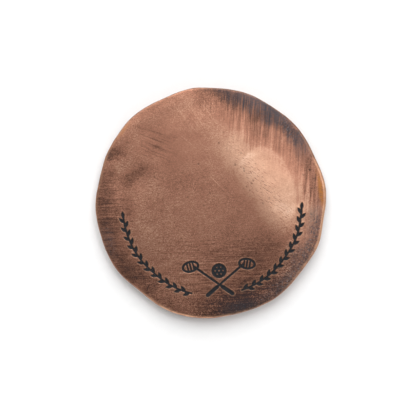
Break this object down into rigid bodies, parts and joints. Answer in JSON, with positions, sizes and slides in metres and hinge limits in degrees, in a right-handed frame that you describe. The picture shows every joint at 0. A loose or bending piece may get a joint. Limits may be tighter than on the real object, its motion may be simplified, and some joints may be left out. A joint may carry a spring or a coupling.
{
  "type": "ball marker",
  "caption": "Coin-like golf ball marker forged from copper, with a wavy hammered rim, a flat foot and black-filled stamped marks along the lower part of its face.",
  "frame": {"origin": "middle of the flat foot, on the surface that the disc lies on", "axes": "+Z out of the stamped face; +Y towards the top of the face, away from the stamped marks; +X to the right when the marks are read upright"},
  "size_m": [0.0352, 0.0352, 0.0024],
  "materials": {
    "copper": "satin brushed copper, not brass, with a dark antique patina towards the rim",
    "black_fill": "matt blue-black antiquing left in the stamped marks"
  },
  "bodies": {
    "root": {"forged_disc": "copper", "left_sprig_fill": "black_fill", "right_sprig_fill": "black_fill", "crossed_clubs_fill": "black_fill", "ball_fill": "black_fill"}
  },
  "joints": []
}
